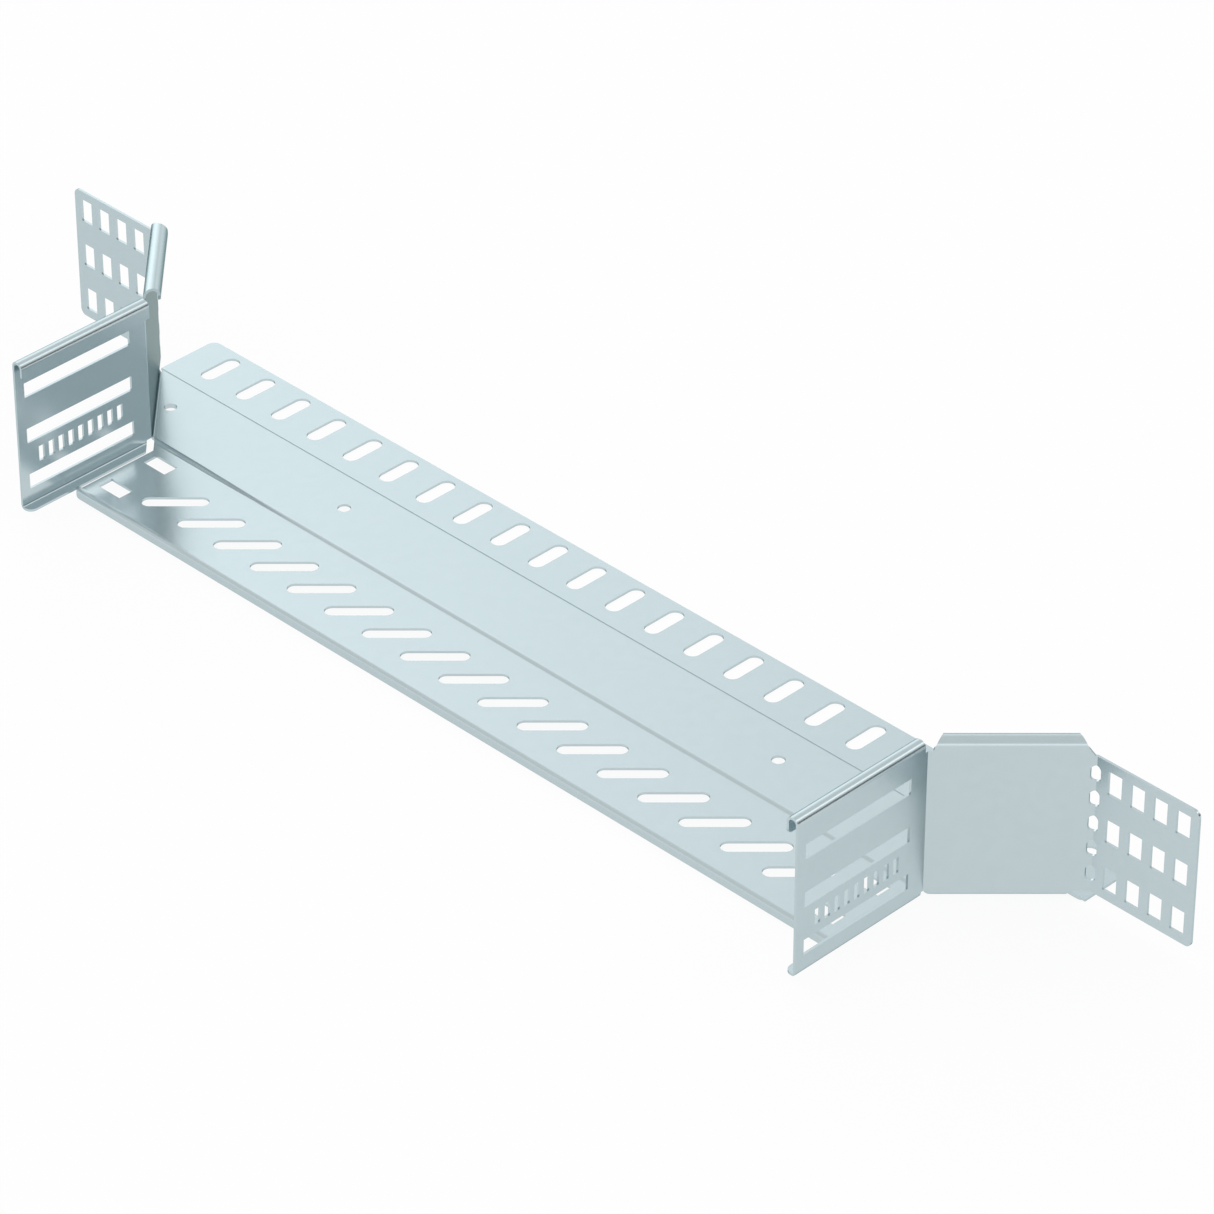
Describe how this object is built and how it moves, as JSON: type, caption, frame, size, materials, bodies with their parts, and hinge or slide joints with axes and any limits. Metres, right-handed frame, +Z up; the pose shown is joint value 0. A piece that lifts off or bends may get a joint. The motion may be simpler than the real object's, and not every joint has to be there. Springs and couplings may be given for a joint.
{
  "type": "cable tray branch tee",
  "caption": "Branch tee for a perforated cable tray: a slotted, stepped floor plate between two side walls that flare out and end in perforated fixing plates, all folded galvanised sheet.",
  "frame": {"origin": "middle of the footprint, on the plane that the tee rests on", "axes": "+X along the floor's long edges, +Y towards the tray that the branch leaves, +Z up"},
  "size_m": [0.8498, 0.1962, 0.103],
  "materials": {
    "galvanised_steel": "hot-dip galvanised sheet, clean, satin"
  },
  "bodies": {
    "root": {"floor_plate": "galvanised_steel", "side_wall_left": "galvanised_steel", "side_wall_right": "galvanised_steel"}
  },
  "joints": []
}
